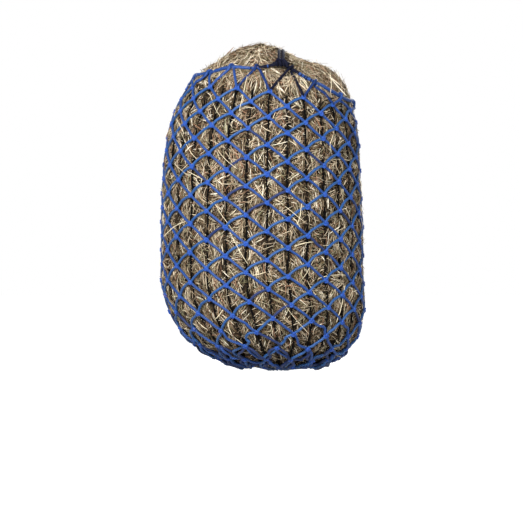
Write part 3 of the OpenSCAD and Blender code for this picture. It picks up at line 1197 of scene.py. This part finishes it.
def coil(start, end, radius, turns, away):
    """A helix round the line from start to end."""
    t = np.linspace(0, 1, int(turns * 16) + 1)[:, None]
    axis = unit(end - start)
    east = unit(away - axis * (away @ axis))
    north = np.cross(axis, east)
    a = 2 * math.pi * turns * t
    return start + (end - start) * t + radius * (np.cos(a) * east + np.sin(a) * north)


def make_hitch():
    """The knot that holds the tail of the drawcord at the mouth."""
    low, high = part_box("drawcord_hitch")
    middle = box_middle("drawcord_hitch")
    half = (high.x - low.x) / 2 / MM
    wrap_r = (high.z - low.z) / 2 / MM - DRAW_R + 0.8
    wrap_half = X_AXIS * (half - 5)
    wrap = coil(middle - wrap_half, middle + wrap_half, wrap_r, 2.6, np.array([0, -1.0, 0.3]))
    end = half + 1
    core = middle + catmull(np.array([[-end, 4, -2], [-6, 0, 0], [6, 0, 0], [end, 4, -2.0]]), 8)
    over = middle + catmull(np.array([[-9, 2, 3], [-5, -4, wrap_r + 1.5], [5, -6, wrap_r],
                                      [11, -9, -2], [12, -8, -9]]), 6)
    parts = [rope(wrap, DRAW_R - 0.4), rope(core, DRAW_R), rope(over, DRAW_R - 0.6)]
    points, quads, tris, tint = join(parts)
    obj = solid("hitch_knot", points, quads, tris, navy, tint, 0)
    settle(obj, NET_BODY, "draw_rope", "drawcord_hitch")


# ---- Tail ----


def tail_points():
    """Middle of the hitch, the tail's joints, and the end of its last segment."""
    tail_joints = [j for j in frame["joints"] if j["child"].startswith("tail_")]
    places = {j["child"]: np.array(j["pos_m"]) / MM for j in tail_joints}
    joints = np.array([box_middle("drawcord_hitch")] + [places[name] for name in sorted(places)])
    middle_x = joints[1:, 0].mean()
    joints[:, 0] = middle_x
    end = [middle_x, box_middle("tail_knot")[1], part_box("tail_8")[0].z / MM]
    return np.concatenate([joints, [end]])


def make_tail():
    """Two strands side by side, in pieces that meet at the joints; gives the direction of the end."""
    points = tail_points()
    line = catmull(points, TAIL_STEPS)
    links = len(points) - 2
    for k in range(1, links + 1):
        first = 0 if k == 1 else int((k - 0.5) * TAIL_STEPS)
        last = int((k + 0.5) * TAIL_STEPS) if k < links else (k + 1) * TAIL_STEPS
        run = line[first : last + 1]
        rings = braid(len(run), ROPE_SIDES, DRAW_R)
        if first % 2:
            rings = np.roll(rings, 1, axis=1)
        ups = np.broadcast_to(X_AXIS, run.shape)
        parts = []
        for side_x in (-DRAW_R - STRAND_GAP, DRAW_R + STRAND_GAP):
            path = run + X_AXIS * side_x
            parts.append(tubes(path[None], ups[None], rings[None], circle_angles(ROPE_SIDES)))
        skins, quads, tris, tint = join(parts)
        obj = solid(f"tail_strands_{k}", skins, quads, tris, navy, (tint + first) % 2, 0)
        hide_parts(f"tail_{k}")
        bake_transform(obj)
    return unit(points[-1] - points[-2])


def make_end_knot(axis):
    """The knot at the end of the tail."""
    low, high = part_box("tail_knot")
    middle = box_middle("tail_knot")
    half = (high.z - low.z) / 2 / MM
    wrap_r = (high.x - low.x) / 2 / MM - DRAW_R + 0.2
    wrap_half = axis * (half - 4)
    wrap = coil(middle - wrap_half, middle + wrap_half, wrap_r, 3.2, Y_AXIS)
    core = catmull(np.array([middle - axis * (half + 2), middle, middle + axis * (half + 1)]), 8)
    parts = [rope(wrap, DRAW_R - 0.3)]
    for side_x in (-2.6, 2.6):
        parts.append(rope(core + X_AXIS * side_x, DRAW_R - 0.8))
    skins, quads, tris, tint = join(parts)
    obj = solid("end_knot", skins, quads, tris, navy, tint, 0)
    settle(obj, "tail_8", "draw_rope", "tail_knot")


def make_eye(axis):
    """The eye that the net hangs by, whipped where it leaves the knot."""
    low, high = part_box("hanging_eye")
    middle = box_middle("hanging_eye")
    eye_r = (high.x - low.x) / 2 / MM - DRAW_R
    turn = circle_angles(72)
    ring = middle + eye_r * (np.cos(turn)[:, None] * X_AXIS + np.sin(turn)[:, None] * axis)
    ring = spaced(ring, ROPE_STEP, closed=True)
    ups = np.broadcast_to(np.cross(X_AXIS, axis), ring.shape)
    parts = [braided(ring[None], ups[None], DRAW_R, ROPE_SIDES, closed=True)]
    top = middle - axis * (eye_r + 1)
    neck = coil(top - X_AXIS * 7, top + X_AXIS * 7, DRAW_R + 1.0, 5, Y_AXIS)
    parts.append(rope(neck, 1.1, 6, 1.5))
    skins, quads, tris, tint = join(parts)
    obj = solid("hanging_loop", skins, quads, tris, navy, tint, 0)
    settle(obj, "tail_8", "draw_rope", "hanging_eye")


# ---- Base ring ----


def make_ring():
    """Keeps the CAD ring and gives it its steel."""
    node = frame["nodes"]["base_ring"]
    node.data.materials.clear()
    node.data.materials.append(steel)


# ---- Stage ----


def make_stage():
    """A wide pale floor in a white studio."""
    corners = np.array([[-1, -1, 0], [1, -1, 0], [1, 1, 0], [-1, 1, 0]]) * FLOOR_HALF / MM
    floor = solid("floor", corners, np.array([[0, 1, 2, 3]]), np.zeros((0, 3), int), [])
    m = Nodes("pale_floor")
    m.set(Base_Color=(0.3, 0.3, 0.3, 1), Roughness=0.8, Emission_Color=(1, 1, 1, 1))
    seen = m.add("ShaderNodeLightPath").outputs["Is Camera Ray"]
    m.link(m.span(seen, 0.35, 0.97), m.shader.inputs["Emission Strength"])
    m.bump(m.noise(40), 0.0005, 0.1)
    floor.data.materials.append(m.material)

    world = bpy.data.worlds.new("studio")
    world.use_nodes = True
    nodes, links = world.node_tree.nodes, world.node_tree.links
    back = nodes["Background"]
    back.inputs["Color"].default_value = (1, 1, 1, 1)
    path = nodes.new("ShaderNodeLightPath")
    strength = nodes.new("ShaderNodeMapRange")
    strength.inputs["To Min"].default_value = 0.38
    strength.inputs["To Max"].default_value = 1.0
    links.new(path.outputs["Is Camera Ray"], strength.inputs["Value"])
    links.new(strength.outputs["Result"], back.inputs["Strength"])
    bpy.context.scene.world = world


LIGHTS = (
    # name, x from the middle of the bag, y, z, size, power
    ("key", -0.9, -2.2, 1.5, 0.45, 98),
    ("fill", 1.4, -2.0, 0.6, 0.9, 22),
    ("back", 0.6, 2.2, 1.6, 1.2, 34),
)


def make_lights():
    """Soft lights that look at the middle of the bag."""
    middle = (cad_box[0] + cad_box[1]) / 2
    for name, x, y, z, size, power in LIGHTS:
        light = bpy.data.lights.new(name, "AREA")
        light.size = size
        light.energy = power
        obj = bpy.data.objects.new(name, light)
        obj.location = (middle.x + x, y, z)
        obj.rotation_euler = (middle - obj.location).to_track_quat("-Z", "Y").to_euler()
        bpy.context.scene.collection.objects.link(obj)


def make_camera():
    """A long lens, level, in front of the belly of the bag."""
    camera = bpy.data.cameras.new("camera")
    camera.sensor_width = 36
    camera.lens = camera.sensor_width * CAMERA_DISTANCE / VIEW_WIDTH
    camera.clip_end = 50
    obj = bpy.data.objects.new("camera", camera)
    belly_x = box_middle("net_course_10")[0] * MM
    obj.location = (belly_x, -CAMERA_DISTANCE, CAMERA_HEIGHT)
    obj.rotation_euler = (math.radians(90), 0, 0)
    bpy.context.scene.collection.objects.link(obj)
    bpy.context.scene.camera = obj
    bpy.context.scene.view_settings.view_transform = "Standard"


make_packed_hay()
make_stalks()
make_strays()
make_inner_cords()
for course in range(1, ROWS):
    make_course(course)
make_base_loops()
make_drawcord()
make_mouth_loops()
make_hitch()
end_axis = make_tail()
make_end_knot(end_axis)
make_eye(end_axis)
make_ring()
make_stage()
make_lights()
make_camera()
